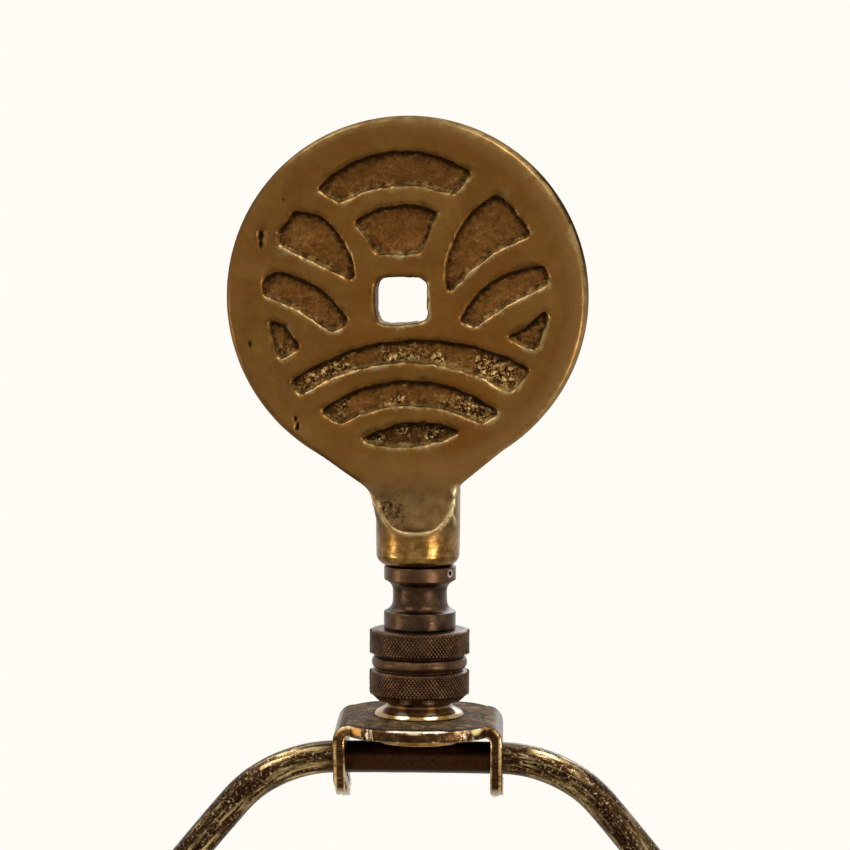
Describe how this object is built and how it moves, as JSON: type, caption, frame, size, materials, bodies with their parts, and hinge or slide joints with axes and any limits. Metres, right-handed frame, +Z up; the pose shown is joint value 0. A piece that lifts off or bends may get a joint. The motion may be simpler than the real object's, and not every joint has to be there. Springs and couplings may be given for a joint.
{
  "type": "vase lamp",
  "caption": "Table lamp: glazed baluster vase on a turned wooden foot, brass socket, detachable wire harp, knurled riser and a cast brass coin-shaped disc finial.",
  "frame": {"origin": "middle of the felt's underside, on the axis of the threaded rod", "axes": "+Z up along the rod; the harp's loop lies in the X-Z plane; the finial's disc faces -Y, its front, turned 4.4 degrees towards -X as pictured; the cord inlet faces +Y"},
  "size_m": [0.17, 0.17, 0.6894],
  "materials": {
    "felt": "matte",
    "wood": "satin",
    "iron": "matte",
    "steel": "satin",
    "bakelite": "gloss",
    "glaze": "gloss",
    "fitting_brass": "satin",
    "screw_brass": "satin",
    "liner_card": "matte",
    "harp_brass": "satin",
    "wire": "satin",
    "bracket_brass": "satin",
    "stud_brass": "polished",
    "dark_bronze": "satin",
    "finial_brass": "satin"
  },
  "bodies": {
    "lamp": {"felt_pad": "felt", "base": "wood", "ballast": "iron", "lock_washer": "steel", "rod_nut": "steel", "cord_bushing": "bakelite", "threaded_rod": "steel", "vase": "glaze", "vase_cap": "fitting_brass", "neck": "fitting_brass", "check_ring": "fitting_brass", "harp_saddle": "harp_brass", "socket_cap": "fitting_brass", "cap_screw": "screw_brass", "socket_body": "bakelite", "terminal_screws": "screw_brass", "screw_shell": "screw_brass", "centre_contact": "screw_brass", "socket_liner": "liner_card", "socket_shell": "fitting_brass"},
    "switch": {"switch_shaft": "screw_brass", "switch_knob": "bakelite"},
    "harp": {"harp_wire": "wire"},
    "ferrule_left": {"ferrule_left": "harp_brass"},
    "ferrule_right": {"ferrule_right": "harp_brass"},
    "bracket": {"harp_bracket": "bracket_brass", "bracket_stud": "stud_brass", "riser": "dark_bronze"},
    "collar": {"finial_collar": "dark_bronze"},
    "finial": {"finial": "finial_brass"}
  },
  "joints": [
    {"name": "switch_turn", "type": "hinge", "parent": "lamp", "child": "switch", "pos_m": [0, -0.018, 0.4009], "axis": [0, -1, 0], "continuous": true},
    {"name": "harp_lift", "type": "slide", "parent": "lamp", "child": "harp", "axis": [0, 0, 1], "range_m": [0, 0.1]},
    {"name": "ferrule_left_slide", "type": "slide", "parent": "harp", "child": "ferrule_left", "axis": [0, 0, 1], "range_m": [0, 0.012]},
    {"name": "ferrule_right_slide", "type": "slide", "parent": "harp", "child": "ferrule_right", "axis": [0, 0, 1], "range_m": [0, 0.012]},
    {"name": "bracket_tilt", "type": "hinge", "parent": "harp", "child": "bracket", "pos_m": [0, 0, 0.59465], "axis": [1, 0, 0], "range_deg": [-45, 45]},
    {"name": "finial_lift", "type": "slide", "parent": "bracket", "child": "collar", "axis": [0, 0, 1], "range_m": [0, 0.0057]},
    {"name": "finial_turn", "type": "hinge", "parent": "collar", "child": "finial", "pos_m": [0, 0, 0.62335], "axis": [0, 0, 1], "range_deg": [0, 2160]}
  ],
  "couplings": [
    {"joint": "finial_lift", "follows": "finial_turn", "m_per_rad": 0.00014961}
  ]
}
